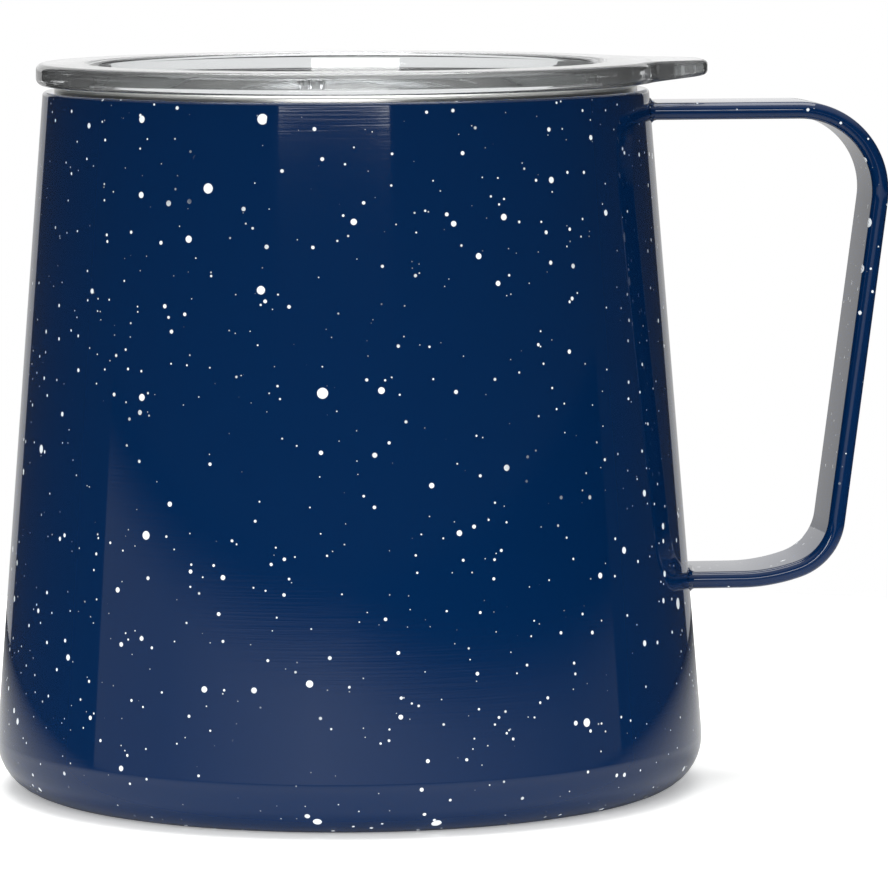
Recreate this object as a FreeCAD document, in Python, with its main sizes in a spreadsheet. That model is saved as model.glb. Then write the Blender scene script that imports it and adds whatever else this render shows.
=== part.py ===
"""A tapered double-wall steel camp mug with a strap handle and a clear push-in lid with a drink slider.

Frame: millimetres, +Z up, origin where the mug's axis meets the surface that it stands on, handle along +X.
The lid is modelled in the mouth with its slider open.
"""

import FreeCAD, Part
import Sketcher
import math
import os

FULL_TURN = 360

DRIVING_SIZES = {
    # outer shell: straight tapered wall, round corner at the foot, round shoulder at the mouth
    "shell_foot": 45.555, "shell_mouth": 38.36, "shell_height": 88.75, "shell_wall": 0.6,
    "foot_round": 6.39, "shoulder_round": 0.5, "foot_inner": 35.2, "mouth_weld": 36.9,
    # inner liner: lip, straight bore for the lid, wall that widens towards the bottom
    "lip_top": 89.5, "lip_round": 0.6, "bore": 35.4, "liner_wall": 0.5, "bore_end": 79.0,
    "liner_foot": 41.6, "liner_floor": 7.5, "liner_round": 5.0, "floor_weld": 36.0,
    "floor_step": 24.0, "floor_rise": 0.6,
    # foil round the liner
    "foil_low": 16.0, "foil_high": 74.0, "foil_wall": 0.2,
    # bottom: welded pan with a pumping hole, its glass seal, cover, getter and the getter's clip
    "pan_underside": 2.0, "pan_wall": 0.6, "pan_skirt": 0.15, "dimple": 5.0, "dimple_rise": 0.8,
    "pump_hole": 0.8, "seal_bead": 2.4, "seal_crown": 1.4, "seal_edge": 0.2,
    "cover_low": 0.8, "cover_wall": 0.4, "cover_gap": 0.1,
    "getter_place": 18.0, "getter_disc": 4.0, "getter_thick": 1.6,
    "clip_reach": 6.5, "clip_foot": 1.8, "clip_wall": 0.3, "clip_width": 3.0,
    # handle: one strap, bent three times in the XZ plane, with rounded edges
    "strap_thick": 2.2, "strap_width": 13.0, "strap_start": 33.0,
    "grip_top": 85.85, "top_bend_x": 57.26, "top_bend": 10.35,
    "grip_low": 26.05, "sweep_x": 49.8, "sweep_bend": 23.0, "low_bend_x": 54.85, "low_bend": 7.3,
    "weld_leg": 0.6, "weld_round": 0.5, "upper_weld_x": 39.38, "lower_weld_x": 44.2, "root_margin": 10.0,
    # lid: rim that rests on the lip, plug with a gasket groove, sunk floor, thumb tab
    "lid_top": 92.3, "rim_low": 89.55, "rim_out": 39.2, "rim_round": 0.9, "plug": 34.4,
    "plug_low": 81.0, "floor_low": 82.0, "floor_top": 84.0, "well_floor": 31.6, "well_mouth": 32.6,
    "well_round": 1.2, "groove_low": 84.2, "groove_high": 87.2, "groove": 33.4,
    "tab_root": 36.5, "tab_root_half": 13.4, "tab_neck": 38.8, "tab_neck_half": 9.6, "tab_blend": 4.0,
    "tab_tip": 45.8, "tab_tip_half": 5.6, "tab_corner": 4.6, "tab_tip_low": 90.4, "tab_edge_round": 0.5,
    "sip_x": 26.0, "sip_half": 4.0, "sip_end": 2.5, "vent_x": 27.0, "vent": 1.0,
    "track_start": 15.0, "track_end": 5.5, "track_end_round": 2.0,
    # gasket in the lid's groove, with two ribs
    "gasket_play": 0.1, "gasket_body": 34.55, "gasket_rib": 35.25,
    # drink slider, drawn open: plate on the lid's floor, thumb bar, stem, and the foot that holds it
    "slide_travel": 9.5, "slider_play": 0.1, "plate_thick": 1.6, "plate_half": 9.0,
    "plate_back": 11.0, "plate_nose": 30.0, "plate_corner": 3.5, "plate_edge": 0.4,
    "stem": 1.9, "stem_x": 5.5,
    "bar_x": 4.5, "bar_long": 3.0, "bar_half": 6.5, "bar_top": 89.0, "bar_corner": 1.4, "bar_edge": 0.9,
    "foot_low": 80.4, "foot_disc": 5.0,
}


same_place = 0.01  # mm, two places closer than this are one place
overshoot = 1.0  # mm, how far a cutting shape reaches past the piece it cuts


class Size:
    """A length: its value now, and the expression of sheet cells that drives it."""

    def __init__(self, value, text):
        self.value, self.text = value, text

    def _with(self, other, sign, value):
        text = other.text if isinstance(other, Size) else repr(other)
        return Size(value, f"({self.text} {sign} {text})")

    def __add__(self, other):
        return self._with(other, "+", self.value + number(other))

    def __sub__(self, other):
        return self._with(other, "-", self.value - number(other))

    def __mul__(self, other):
        return self._with(other, "*", self.value * number(other))

    def __truediv__(self, other):
        return self._with(other, "/", self.value / number(other))


def number(size):
    return size.value if isinstance(size, Size) else size


def fill_sheet(doc):
    """Writes the driving sizes into the sheet, and returns each of them as a Size."""
    sheet = doc.addObject("Spreadsheet::Sheet", "Sizes")
    sizes = {}
    for row, (name, value) in enumerate(DRIVING_SIZES.items(), start=1):
        sheet.set(f"A{row}", name)
        sheet.set(f"B{row}", str(value))
        sheet.setAlias(f"B{row}", name)
        sizes[name] = Size(value, f"Sizes.{name}")
    doc.recompute()
    return sizes


def new_body(doc, name):
    body = doc.addObject("PartDesign::Body", name)
    body.Label = name
    return body


def new_sketch(body, name, plane, offset=None):
    """An empty sketch on one of the body's own planes, moved along that plane's normal by offset."""
    sketch = body.newObject("Sketcher::SketchObject", name)
    own_plane = next(f for f in body.Origin.OriginFeatures if f.Role == plane)
    sketch.AttachmentSupport = [(own_plane, "")]
    sketch.MapMode = "FlatFace"
    if offset is not None:
        sketch.setExpression("AttachmentOffset.Base.z", offset.text)
    return sketch


def hold(sketch, geometry, point, across, up):
    """Ties one point of the sketch to its two coordinates. A plain 0 puts it on the axis."""
    for kind, axis, size in (("DistanceX", -2, across), ("DistanceY", -1, up)):
        if number(size) == 0:
            sketch.addConstraint(Sketcher.Constraint("PointOnObject", geometry, point, axis))
            continue
        ends = (-1, 1, geometry, point) if number(size) > 0 else (geometry, point, -1, 1)
        index = sketch.addConstraint(Sketcher.Constraint(kind, *ends, abs(number(size))))
        text = size.text if number(size) > 0 else f"-{size.text}"
        sketch.setExpression(f"Constraints[{index}]", text)


def tie(sketch, kind, geometry, size):
    """A radius of the sketch, driven by the sheet."""
    index = sketch.addConstraint(Sketcher.Constraint(kind, geometry, size.value))
    sketch.setExpression(f"Constraints[{index}]", size.text)


def vector(across, up):
    return FreeCAD.Vector(number(across), number(up), 0)


def short_arc(centre, radius, one, other):
    """The shorter arc between two points, running anticlockwise as a sketch keeps it."""
    start, end = (math.atan2(p.y - centre.y, p.x - centre.x) for p in (one, other))
    if (end - start) % (2 * math.pi) > math.pi:
        start, end = end, start
    return Part.ArcOfCircle(Part.Circle(centre, FreeCAD.Vector(0, 0, 1), radius), start, end)


def outline(sketch, points):
    """A closed outline of straight edges through corners of (across, up), or (across, up, rounding)."""
    corners = [vector(*point[:2]) for point in points]
    count = len(points)
    entry, leave, arcs = list(corners), list(corners), {}
    for i, point in enumerate(points):
        if len(point) == 2:
            continue
        before = (corners[i - 1] - corners[i]).normalize()
        after = (corners[(i + 1) % count] - corners[i]).normalize()
        half = before.getAngle(after) / 2
        trim, reach = point[2].value / math.tan(half), point[2].value / math.sin(half)
        entry[i], leave[i] = corners[i] + before * trim, corners[i] + after * trim
        centre = corners[i] + (before + after).normalize() * reach
        arcs[i] = short_arc(centre, point[2].value, entry[i], leave[i])
    for i in range(count):
        sketch.addGeometry(Part.LineSegment(leave[i], entry[(i + 1) % count]), False)
    for i, point in enumerate(points):
        before = (i - 1) % count
        if i not in arcs:
            sketch.addConstraint(Sketcher.Constraint("Coincident", before, 2, i, 1))
            hold(sketch, i, 1, *point)
            continue
        arc = sketch.addGeometry(arcs[i], False)
        starts_first = arcs[i].StartPoint.distanceToPoint(entry[i]) < 1e-6
        first, last = (1, 2) if starts_first else (2, 1)
        sketch.addConstraint(Sketcher.Constraint("Tangent", before, 2, arc, first))
        sketch.addConstraint(Sketcher.Constraint("Tangent", arc, last, i, 1))
        tie(sketch, "Radius", arc, point[2])
        corner = sketch.addGeometry(Part.Point(corners[i]), True)
        sketch.addConstraint(Sketcher.Constraint("PointOnObject", corner, 1, before))
        sketch.addConstraint(Sketcher.Constraint("PointOnObject", corner, 1, i))
        hold(sketch, corner, 1, *point[:2])


def slot(sketch, first, second, radius):
    """A closed slot outline: half circles about two centres, joined by straight edges."""
    a, b = vector(*first), vector(*second)
    along = (b - a).normalize()
    side = FreeCAD.Vector(-along.y, along.x, 0) * radius.value
    facing = math.atan2(side.y, side.x)
    ends = [Part.Circle(centre, FreeCAD.Vector(0, 0, 1), radius.value) for centre in (a, b)]
    sketch.addGeometry(Part.ArcOfCircle(ends[0], facing, facing + math.pi), False)
    sketch.addGeometry(Part.LineSegment(a - side, b - side), False)
    sketch.addGeometry(Part.ArcOfCircle(ends[1], facing - math.pi, facing), False)
    sketch.addGeometry(Part.LineSegment(b + side, a + side), False)
    for here, end, there, start in ((0, 2, 1, 1), (1, 2, 2, 1), (2, 2, 3, 1), (3, 2, 0, 1)):
        sketch.addConstraint(Sketcher.Constraint("Tangent", here, end, there, start))
    sketch.addConstraint(Sketcher.Constraint("Equal", 0, 2))
    tie(sketch, "Radius", 0, radius)
    hold(sketch, 0, 3, *first)
    hold(sketch, 2, 3, *second)


def circle(sketch, centre, radius):
    sketch.addGeometry(Part.Circle(vector(*centre), FreeCAD.Vector(0, 0, 1), radius.value), False)
    tie(sketch, "Radius", 0, radius)
    hold(sketch, 0, 3, *centre)


def turned(body, name, points, kind="Revolution"):
    """Turns an outline of (radius, height) points about the body's Z axis, as metal or as a cut."""
    sketch = new_sketch(body, f"{name}_profile", "XZ_Plane")
    outline(sketch, points)
    feature = body.newObject(f"PartDesign::{kind}", name)
    feature.Profile = sketch
    feature.ReferenceAxis = (sketch, ["V_Axis"])
    feature.Angle = FULL_TURN
    body.Document.recompute()
    return feature


def straight(body, name, sketch, length, kind="Pad", middle=False, back=False):
    """Extrudes a sketch by length, both ways from it if middle is true, as material or as a pocket."""
    feature = body.newObject(f"PartDesign::{kind}", name)
    feature.Profile = sketch
    feature.setExpression("Length", length.text)
    feature.Midplane = middle
    feature.Reversed = back
    body.Document.recompute()
    return feature


def rounded(body, name, radius, chosen):
    """Rounds the edges of the body's last feature for which chosen(edge) is true."""
    base = body.Tip
    names = [f"Edge{i}" for i, edge in enumerate(base.Shape.Edges, start=1) if chosen(edge)]
    if not names:
        raise RuntimeError(f"{body.Label}: {name} finds no edge")
    feature = body.newObject("PartDesign::Fillet", name)
    feature.Base = (base, names)
    feature.setExpression("Radius", radius.text)
    body.Document.recompute()
    return feature


def cut_is_real(body, before):
    """Stops if the body's last cut took nothing away."""
    if body.Shape.Volume > before - 1e-3:
        raise RuntimeError(f"{body.Label}: {body.Tip.Name} cuts nothing")


def wall_radius(d, height):
    """The outer wall's radius at a height."""
    return d["shell_foot"] - (d["shell_foot"] - d["shell_mouth"]) * height / d["shell_height"]


def liner_outside(d, height):
    """The liner's outer radius at a height below the straight bore."""
    wall = d["liner_wall"]
    low = d["liner_floor"] - wall
    narrowing = (d["liner_foot"] - d["bore"]) / (d["bore_end"] - low)
    return d["liner_foot"] + wall - narrowing * (height - low)


def make_outer_shell(doc, d):
    body = new_body(doc, "outer_shell")
    wall, top = d["shell_wall"], d["shell_height"]
    under = top - wall
    turned(body, "shell_turn", [
        (d["foot_inner"], 0),
        (d["shell_foot"], 0, d["foot_round"]),
        (d["shell_mouth"], top, d["shoulder_round"]),
        (d["mouth_weld"], top),
        (d["mouth_weld"], under),
        (wall_radius(d, under) - wall, under),
        (wall_radius(d, wall) - wall, wall, d["foot_round"] - wall),
        (d["foot_inner"], wall),
    ])
    return body


def make_inner_liner(doc, d):
    body = new_body(doc, "inner_liner")
    wall, floor, lip = d["liner_wall"], d["liner_floor"], d["lip_top"]
    under_lip = d["shell_height"] - d["shell_wall"]
    turned(body, "liner_turn", [
        (d["bore"], lip, d["lip_round"]),
        (d["mouth_weld"], lip, d["lip_round"]),
        (d["mouth_weld"], under_lip),
        (d["bore"] + wall, under_lip - wall * 2),
        (d["bore"] + wall, d["bore_end"]),
        (d["liner_foot"] + wall, floor - wall, d["liner_round"] + wall),
        (d["floor_weld"], floor - wall),
        (d["floor_weld"], floor),
        (d["liner_foot"], floor, d["liner_round"]),
        (d["bore"], d["bore_end"]),
    ])
    return body


def make_liner_bottom(doc, d):
    body = new_body(doc, "liner_bottom")
    wall, floor, rise = d["liner_wall"], d["liner_floor"], d["floor_rise"]
    turned(body, "floor_turn", [
        (0, floor - wall + rise),
        (d["floor_step"] - rise, floor - wall + rise),
        (d["floor_step"], floor - wall),
        (d["floor_weld"], floor - wall),
        (d["floor_weld"], floor),
        (d["floor_step"], floor),
        (d["floor_step"] - rise, floor + rise),
        (0, floor + rise),
    ])
    return body


def make_foil_shield(doc, d):
    """Foil wrapped on the liner's outer face, between the two walls."""
    body = new_body(doc, "foil_shield")
    low, high = liner_outside(d, d["foil_low"]), liner_outside(d, d["foil_high"])
    turned(body, "foil_turn", [
        (low, d["foil_low"]),
        (low + d["foil_wall"], d["foil_low"]),
        (high + d["foil_wall"], d["foil_high"]),
        (high, d["foil_high"]),
    ])
    return body


def make_outer_bottom(doc, d):
    """The pan that closes the vacuum space, with its pumping hole in a raised dimple."""
    body = new_body(doc, "outer_bottom")
    under, wall, rise = d["pan_underside"], d["pan_wall"], d["dimple_rise"]
    turned(body, "pan_turn", [
        (d["pump_hole"], under + rise),
        (d["dimple"], under + rise),
        (d["dimple"] + rise, under),
        (d["foot_inner"] - wall, under),
        (d["foot_inner"] - wall, d["pan_skirt"]),
        (d["foot_inner"], d["pan_skirt"]),
        (d["foot_inner"], under + wall),
        (d["dimple"] + rise, under + wall),
        (d["dimple"], under + rise + wall),
        (d["pump_hole"], under + rise + wall),
    ])
    return body


def make_vacuum_seal(doc, d):
    """The bead of solder glass that closes the pumping hole."""
    body = new_body(doc, "vacuum_seal")
    face = d["pan_underside"] + d["dimple_rise"]
    turned(body, "bead_turn", [
        (0, face - d["dimple_rise"]),
        (d["seal_crown"], face - d["dimple_rise"] + d["seal_edge"]),
        (d["seal_bead"], face),
        (d["pump_hole"], face),
        (d["pump_hole"], face + d["pan_wall"]),
        (0, face + d["pan_wall"]),
    ])
    return body


def make_bottom_cover(doc, d):
    body = new_body(doc, "bottom_cover")
    low, wall = d["cover_low"], d["cover_wall"]
    edge = d["foot_inner"] - d["pan_wall"] - d["cover_gap"]
    turned(body, "cover_turn", [
        (0, low),
        (edge, low),
        (edge, d["pan_underside"]),
        (edge - wall, d["pan_underside"]),
        (edge - wall, low + wall),
        (0, low + wall),
    ])
    return body


def make_getter(doc, d):
    body = new_body(doc, "getter")
    sketch = new_sketch(body, "getter_outline", "XY_Plane", d["pan_underside"] + d["pan_wall"])
    circle(sketch, (d["getter_place"], 0), d["getter_disc"])
    straight(body, "getter_pad", sketch, d["getter_thick"])
    return body


def make_getter_clip(doc, d):
    """A strip spot-welded to the pan at both feet, over the getter."""
    body = new_body(doc, "getter_clip")
    base = d["pan_underside"] + d["pan_wall"]
    top = base + d["getter_thick"]
    wall, middle, reach = d["clip_wall"], d["getter_place"], d["clip_reach"]
    knee = d["clip_foot"]
    sketch = new_sketch(body, "clip_outline", "XZ_Plane")
    outline(sketch, [
        (middle - reach, base),
        (middle - reach + knee, base),
        (middle - reach + knee, top),
        (middle + reach - knee, top),
        (middle + reach - knee, base),
        (middle + reach, base),
        (middle + reach, base + wall),
        (middle + reach - knee + wall, base + wall),
        (middle + reach - knee + wall, top + wall),
        (middle - reach + knee - wall, top + wall),
        (middle - reach + knee - wall, base + wall),
        (middle - reach, base + wall),
    ])
    straight(body, "clip_pad", sketch, d["clip_width"], middle=True)
    return body


def handle_path(sketch, d):
    """The strap's middle line: out from the shoulder, round the top bend, down the grip, round the
    tight lower bend, and along a long sweep that ends level at the wall."""
    top, low = d["grip_top"], d["grip_low"]
    upper = vector(d["top_bend_x"], top - d["top_bend"])
    sweep = vector(d["sweep_x"], low + d["sweep_bend"])
    # the lower bend touches the sweep from inside
    apart = d["sweep_bend"].value - d["low_bend"].value
    aside = d["low_bend_x"].value - d["sweep_x"].value
    lower = vector(d["low_bend_x"], sweep.y - math.sqrt(apart**2 - aside**2))
    meet = math.atan2(lower.y - sweep.y, lower.x - sweep.x)
    # the straight grip touches both bends on their outer side
    between = upper - lower
    lean = math.asin((d["top_bend"].value - d["low_bend"].value) / between.Length)
    facing = math.atan2(between.y, between.x) - math.pi / 2 - lean

    def arc(centre, bend, start, end):
        bend_circle = Part.Circle(centre, FreeCAD.Vector(0, 0, 1), bend.value)
        return Part.ArcOfCircle(bend_circle, start, end)

    top_arc = arc(upper, d["top_bend"], facing, math.pi / 2)
    low_arc = arc(lower, d["low_bend"], meet, facing)
    sweep_arc = arc(sweep, d["sweep_bend"], -math.pi / 2, meet)
    pieces = [
        Part.LineSegment(vector(d["strap_start"], top), top_arc.EndPoint),
        top_arc,
        Part.LineSegment(top_arc.StartPoint, low_arc.EndPoint),
        low_arc,
        sweep_arc,
        Part.LineSegment(sweep_arc.StartPoint, vector(d["strap_start"], low)),
    ]
    for piece in pieces:
        sketch.addGeometry(piece, False)
    for here, end, there, start in ((0, 2, 1, 2), (1, 1, 2, 1), (2, 2, 3, 2), (3, 1, 4, 2), (4, 1, 5, 1)):
        sketch.addConstraint(Sketcher.Constraint("Tangent", here, end, there, start))
    for index, bend in ((1, "top_bend"), (3, "low_bend"), (4, "sweep_bend")):
        tie(sketch, "Radius", index, d[bend])
    hold(sketch, 0, 1, d["strap_start"], top)
    hold(sketch, 5, 2, d["strap_start"], low)
    hold(sketch, 1, 3, d["top_bend_x"], top - d["top_bend"])
    hold(sketch, 4, 3, d["sweep_x"], low + d["sweep_bend"])
    index = sketch.addConstraint(
        Sketcher.Constraint("DistanceX", -1, 1, 3, 3, d["low_bend_x"].value)
    )
    sketch.setExpression(f"Constraints[{index}]", d["low_bend_x"].text)


def cut_to_wall(body, d):
    """Takes away what would reach inside the outer wall's face."""
    low, high = d["grip_low"] - d["root_margin"], d["grip_top"] + d["root_margin"]
    before = body.Shape.Volume
    turned(body, f"{body.Label}_root", [
        (0, low),
        (wall_radius(d, low), low),
        (wall_radius(d, high), high),
        (0, high),
    ], kind="Groove")
    cut_is_real(body, before)


def strap_section(sketch, d, height, grown=None):
    """The strap's section with its full-round edges, at a height, or grown all round."""
    radius = d["strap_thick"] / 2
    centre = d["strap_width"] / 2 - radius
    if grown is not None:
        radius = radius + grown
    slot(sketch, (centre * -1, height), (centre, height), radius)


def make_handle_strap(doc, d):
    body = new_body(doc, "handle_strap")
    section = new_sketch(body, "strap_section", "YZ_Plane", d["strap_start"])
    strap_section(section, d, d["grip_top"])
    path = new_sketch(body, "strap_path", "XZ_Plane")
    handle_path(path, d)
    doc.recompute()
    strap = body.newObject("PartDesign::AdditivePipe", "strap_pipe")
    strap.Profile = section
    strap.Spine = path
    doc.recompute()
    cut_to_wall(body, d)
    return body


def make_handle_weld(doc, d, name, height, end):
    """The weld round one end of the strap: a collar on the wall with a rounded outer edge."""
    body = new_body(doc, name)
    collar = new_sketch(body, f"{name}_collar", "YZ_Plane", d["strap_start"])
    strap_section(collar, d, height, grown=d["weld_leg"])
    straight(body, f"{name}_pad", collar, end - d["strap_start"])
    rounded(body, f"{name}_edge", d["weld_round"], lambda edge: edge.BoundBox.XMin > end.value - same_place)
    cut_to_wall(body, d)
    before = body.Shape.Volume
    hole = new_sketch(body, f"{name}_hole", "YZ_Plane", d["strap_start"])
    strap_section(hole, d, height)
    straight(body, f"{name}_pocket", hole, end - d["strap_start"] + overshoot, kind="Pocket", back=True)
    cut_is_real(body, before)
    return body


def make_lid(doc, d):
    body = new_body(doc, "lid")
    make_thumb_tab(body, d)
    top, low, soft = d["lid_top"], d["rim_low"], d["rim_round"]
    turned(body, "lid_turn", [
        (0, d["floor_low"]),
        (d["well_floor"], d["floor_low"]),
        (d["well_floor"], d["plug_low"]),
        (d["plug"], d["plug_low"], soft),
        (d["plug"], d["groove_low"]),
        (d["groove"], d["groove_low"]),
        (d["groove"], d["groove_high"]),
        (d["plug"], d["groove_high"]),
        (d["plug"], low),
        (d["rim_out"], low, soft),
        (d["rim_out"], top, soft),
        (d["well_mouth"], top, soft),
        (d["well_floor"], d["floor_top"], d["well_round"]),
        (0, d["floor_top"]),
    ])
    cut_lid_holes(body, d)
    return body


def make_thumb_tab(body, d):
    """The tongue that the thumb pushes up: level with the rim's top, narrower and thinner at its tip."""
    top, low, spread = d["lid_top"], d["rim_low"], d["tab_root_half"]
    root, neck, tip = d["tab_root"], d["tab_neck"], d["tab_tip"]
    plan = new_sketch(body, "tab_plan", "XY_Plane", low)
    outline(plan, [
        (root, spread * -1),
        (neck, d["tab_neck_half"] * -1, d["tab_blend"]),
        (tip, d["tab_tip_half"] * -1, d["tab_corner"]),
        (tip, d["tab_tip_half"], d["tab_corner"]),
        (neck, d["tab_neck_half"], d["tab_blend"]),
        (root, spread),
    ])
    straight(body, "tab_pad", plan, top - low)
    before = body.Shape.Volume
    slope = new_sketch(body, "tab_slope", "XZ_Plane")
    outline(slope, [
        (root, low),
        (root, low - overshoot),
        (tip + (tip - root), low - overshoot),
        (tip + (tip - root), d["tab_tip_low"] + (d["tab_tip_low"] - low)),
    ])
    straight(body, "tab_underside", slope, (spread + overshoot) * 2, kind="Pocket", middle=True)
    cut_is_real(body, before)

    def outer_edge(edge):
        box = edge.BoundBox
        on_root = box.XMax < root.value + same_place
        on_top = box.ZMin > top.value - same_place
        on_underside = box.ZMax < d["tab_tip_low"].value + same_place
        return not on_root and (on_top or on_underside)

    rounded(body, "tab_edges", d["tab_edge_round"], outer_edge)


def cut_lid_holes(body, d):
    """The drinking slot, the air hole and the slider's track, through the lid's floor."""
    depth = d["floor_top"] - d["floor_low"]
    holes = {
        "drink_slot": lambda s: slot(
            s, (d["sip_x"] * -1, d["sip_half"] * -1), (d["sip_x"] * -1, d["sip_half"]), d["sip_end"]
        ),
        "slider_track": lambda s: slot(
            s, (d["track_start"] * -1, 0), (d["track_end"] * -1, 0), d["track_end_round"]
        ),
        "air_hole": lambda s: circle(s, (d["vent_x"], 0), d["vent"]),
    }
    for name, draw in holes.items():
        before = body.Shape.Volume
        sketch = new_sketch(body, f"{name}_outline", "XY_Plane", d["floor_top"])
        draw(sketch)
        straight(body, name, sketch, depth, kind="Pocket")
        cut_is_real(body, before)


def make_lid_gasket(doc, d):
    body = new_body(doc, "lid_gasket")
    play = d["gasket_play"]
    low, high = d["groove_low"] + play, d["groove_high"] - play
    inner, face, rib = d["groove"] + play, d["gasket_body"], d["gasket_rib"]
    quarter = (high - low) / 4
    turned(body, "gasket_turn", [
        (inner, low),
        (face, low),
        (rib, low + quarter),
        (face, low + quarter * 2 - play),
        (face, low + quarter * 2 + play),
        (rib, high - quarter),
        (face, high),
        (inner, high),
    ])
    return body


def make_slider(doc, d):
    """The drink slider, drawn open: slide_travel further along -X it covers the drinking slot."""
    body = new_body(doc, "slider")
    plate_low = d["floor_top"] + d["slider_play"]
    plate_top = plate_low + d["plate_thick"]
    nose = d["plate_nose"] - d["slide_travel"]
    back, half = d["plate_back"] - d["slide_travel"], d["plate_half"]
    corner = d["plate_corner"]
    plate = new_sketch(body, "plate_outline", "XY_Plane", plate_low)
    outline(plate, [
        (nose * -1, half * -1, corner),
        (back * -1, half * -1, corner),
        (back * -1, half, corner),
        (nose * -1, half, corner),
    ])
    straight(body, "plate_pad", plate, d["plate_thick"])
    plate_upper = plate_top.value - same_place
    rounded(body, "plate_edges", d["plate_edge"], lambda edge: edge.BoundBox.ZMin > plate_upper)
    stem = new_sketch(body, "stem_outline", "XY_Plane", d["foot_low"])
    circle(stem, (d["stem_x"] * -1, 0), d["stem"])
    straight(body, "stem_pad", stem, plate_low - d["foot_low"] + d["plate_thick"] / 2)
    bar = new_sketch(body, "bar_outline", "XY_Plane", plate_top - d["plate_thick"] / 2)
    near, far = (d["bar_x"] - d["bar_long"] / 2) * -1, (d["bar_x"] + d["bar_long"] / 2) * -1
    corner = d["bar_corner"]
    outline(bar, [
        (far, d["bar_half"] * -1, corner),
        (near, d["bar_half"] * -1, corner),
        (near, d["bar_half"], corner),
        (far, d["bar_half"], corner),
    ])
    straight(body, "bar_pad", bar, d["bar_top"] - plate_top + d["plate_thick"] / 2)
    bar_upper = d["bar_top"].value - same_place
    rounded(body, "bar_edges", d["bar_edge"], lambda edge: edge.BoundBox.ZMin > bar_upper)
    return body


def make_slider_foot(doc, d):
    """The disc under the lid's floor that is pressed on the slider's stem."""
    body = new_body(doc, "slider_foot")
    disc = new_sketch(body, "foot_outline", "XY_Plane", d["foot_low"])
    circle(disc, (d["stem_x"] * -1, 0), d["foot_disc"])
    thick = d["floor_low"] - d["slider_play"] - d["foot_low"]
    straight(body, "foot_pad", disc, thick)
    before = body.Shape.Volume
    hole = new_sketch(body, "foot_hole", "XY_Plane", d["foot_low"] + thick)
    circle(hole, (d["stem_x"] * -1, 0), d["stem"])
    straight(body, "foot_bore", hole, thick, kind="Pocket")
    cut_is_real(body, before)
    return body


def check_and_export(doc, bodies):
    """Stops at any failed feature or faulty solid, then writes one STEP file for each sub-part."""
    for thing in doc.Objects:
        if "Invalid" in thing.State or "Error" in thing.State:
            raise RuntimeError(f"{thing.Name} is {thing.State}")
    for body in bodies:
        shape = body.Shape
        if shape.isNull() or not shape.isValid() or len(shape.Solids) != 1:
            raise RuntimeError(f"{body.Label} is not one valid solid")
    os.makedirs("parts", exist_ok=True)
    for body in bodies:
        body.Shape.exportStep(f"parts/{body.Label}.step")
        print(f"{body.Label}: {body.Shape.Volume:.1f} mm3")


def main():
    doc = FreeCAD.newDocument("camp_mug")
    d = fill_sheet(doc)
    bodies = [
        make(doc, d)
        for make in (
            make_outer_shell, make_inner_liner, make_liner_bottom, make_foil_shield,
            make_outer_bottom, make_vacuum_seal, make_bottom_cover, make_getter, make_getter_clip,
            make_handle_strap, make_lid, make_lid_gasket, make_slider, make_slider_foot,
        )
    ]
    bodies.append(make_handle_weld(doc, d, "handle_weld_upper", d["grip_top"], d["upper_weld_x"]))
    bodies.append(make_handle_weld(doc, d, "handle_weld_lower", d["grip_low"], d["lower_weld_x"]))
    doc.recompute()
    check_and_export(doc, bodies)


main()
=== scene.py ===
import math

import bmesh
import bpy
from mathutils import Matrix, Vector


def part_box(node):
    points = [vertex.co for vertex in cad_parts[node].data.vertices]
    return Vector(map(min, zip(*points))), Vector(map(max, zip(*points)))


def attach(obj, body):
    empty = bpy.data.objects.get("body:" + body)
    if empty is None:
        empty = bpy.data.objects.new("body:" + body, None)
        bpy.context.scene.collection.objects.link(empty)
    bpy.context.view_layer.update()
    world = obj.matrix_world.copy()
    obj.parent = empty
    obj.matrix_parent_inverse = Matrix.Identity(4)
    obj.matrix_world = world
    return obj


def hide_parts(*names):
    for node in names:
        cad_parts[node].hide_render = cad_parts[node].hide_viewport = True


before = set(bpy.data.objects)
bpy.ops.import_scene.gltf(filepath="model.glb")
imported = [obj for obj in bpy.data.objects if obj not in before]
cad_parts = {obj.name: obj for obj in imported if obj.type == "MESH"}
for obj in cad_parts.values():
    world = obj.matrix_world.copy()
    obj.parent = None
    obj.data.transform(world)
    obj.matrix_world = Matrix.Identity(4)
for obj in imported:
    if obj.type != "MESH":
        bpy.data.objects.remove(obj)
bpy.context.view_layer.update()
print("frame loaded:", len(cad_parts), "nodes")


# small tools for modelling in millimetres

nearby = 0.01  # mm, two places closer than this are one place
onLine = 0.004  # mm, how far a point may lie from a ring or a face and still be on it
doubles = 0.002  # mm, vertices closer than this are merged
past = 1.0  # mm, how far a cutting plug goes past both faces
fineSteps = 256  # facets round the largest pieces


def mm(size):
    return size / 1000


def deselectAll():
    if bpy.context.object and bpy.context.object.mode == "EDIT":
        bpy.ops.object.mode_set(mode="OBJECT")
    bpy.ops.object.select_all(action="DESELECT")


def selectWhere(kind, test):
    # selects the verts, edges or faces whose middle (in mm) passes the test; everything else is let go
    mesh = bmesh.from_edit_mesh(bpy.context.object.data)
    bpy.ops.mesh.select_mode(type=kind)
    bpy.ops.mesh.select_all(action="DESELECT")
    parts = {"VERT": mesh.verts, "EDGE": mesh.edges, "FACE": mesh.faces}[kind]
    for part in parts:
        corners = [part] if kind == "VERT" else part.verts
        if all(test(corner.co * 1000) for corner in corners):
            part.select_set(True)
    mesh.select_flush_mode()
    bmesh.update_edit_mesh(bpy.context.object.data)


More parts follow.
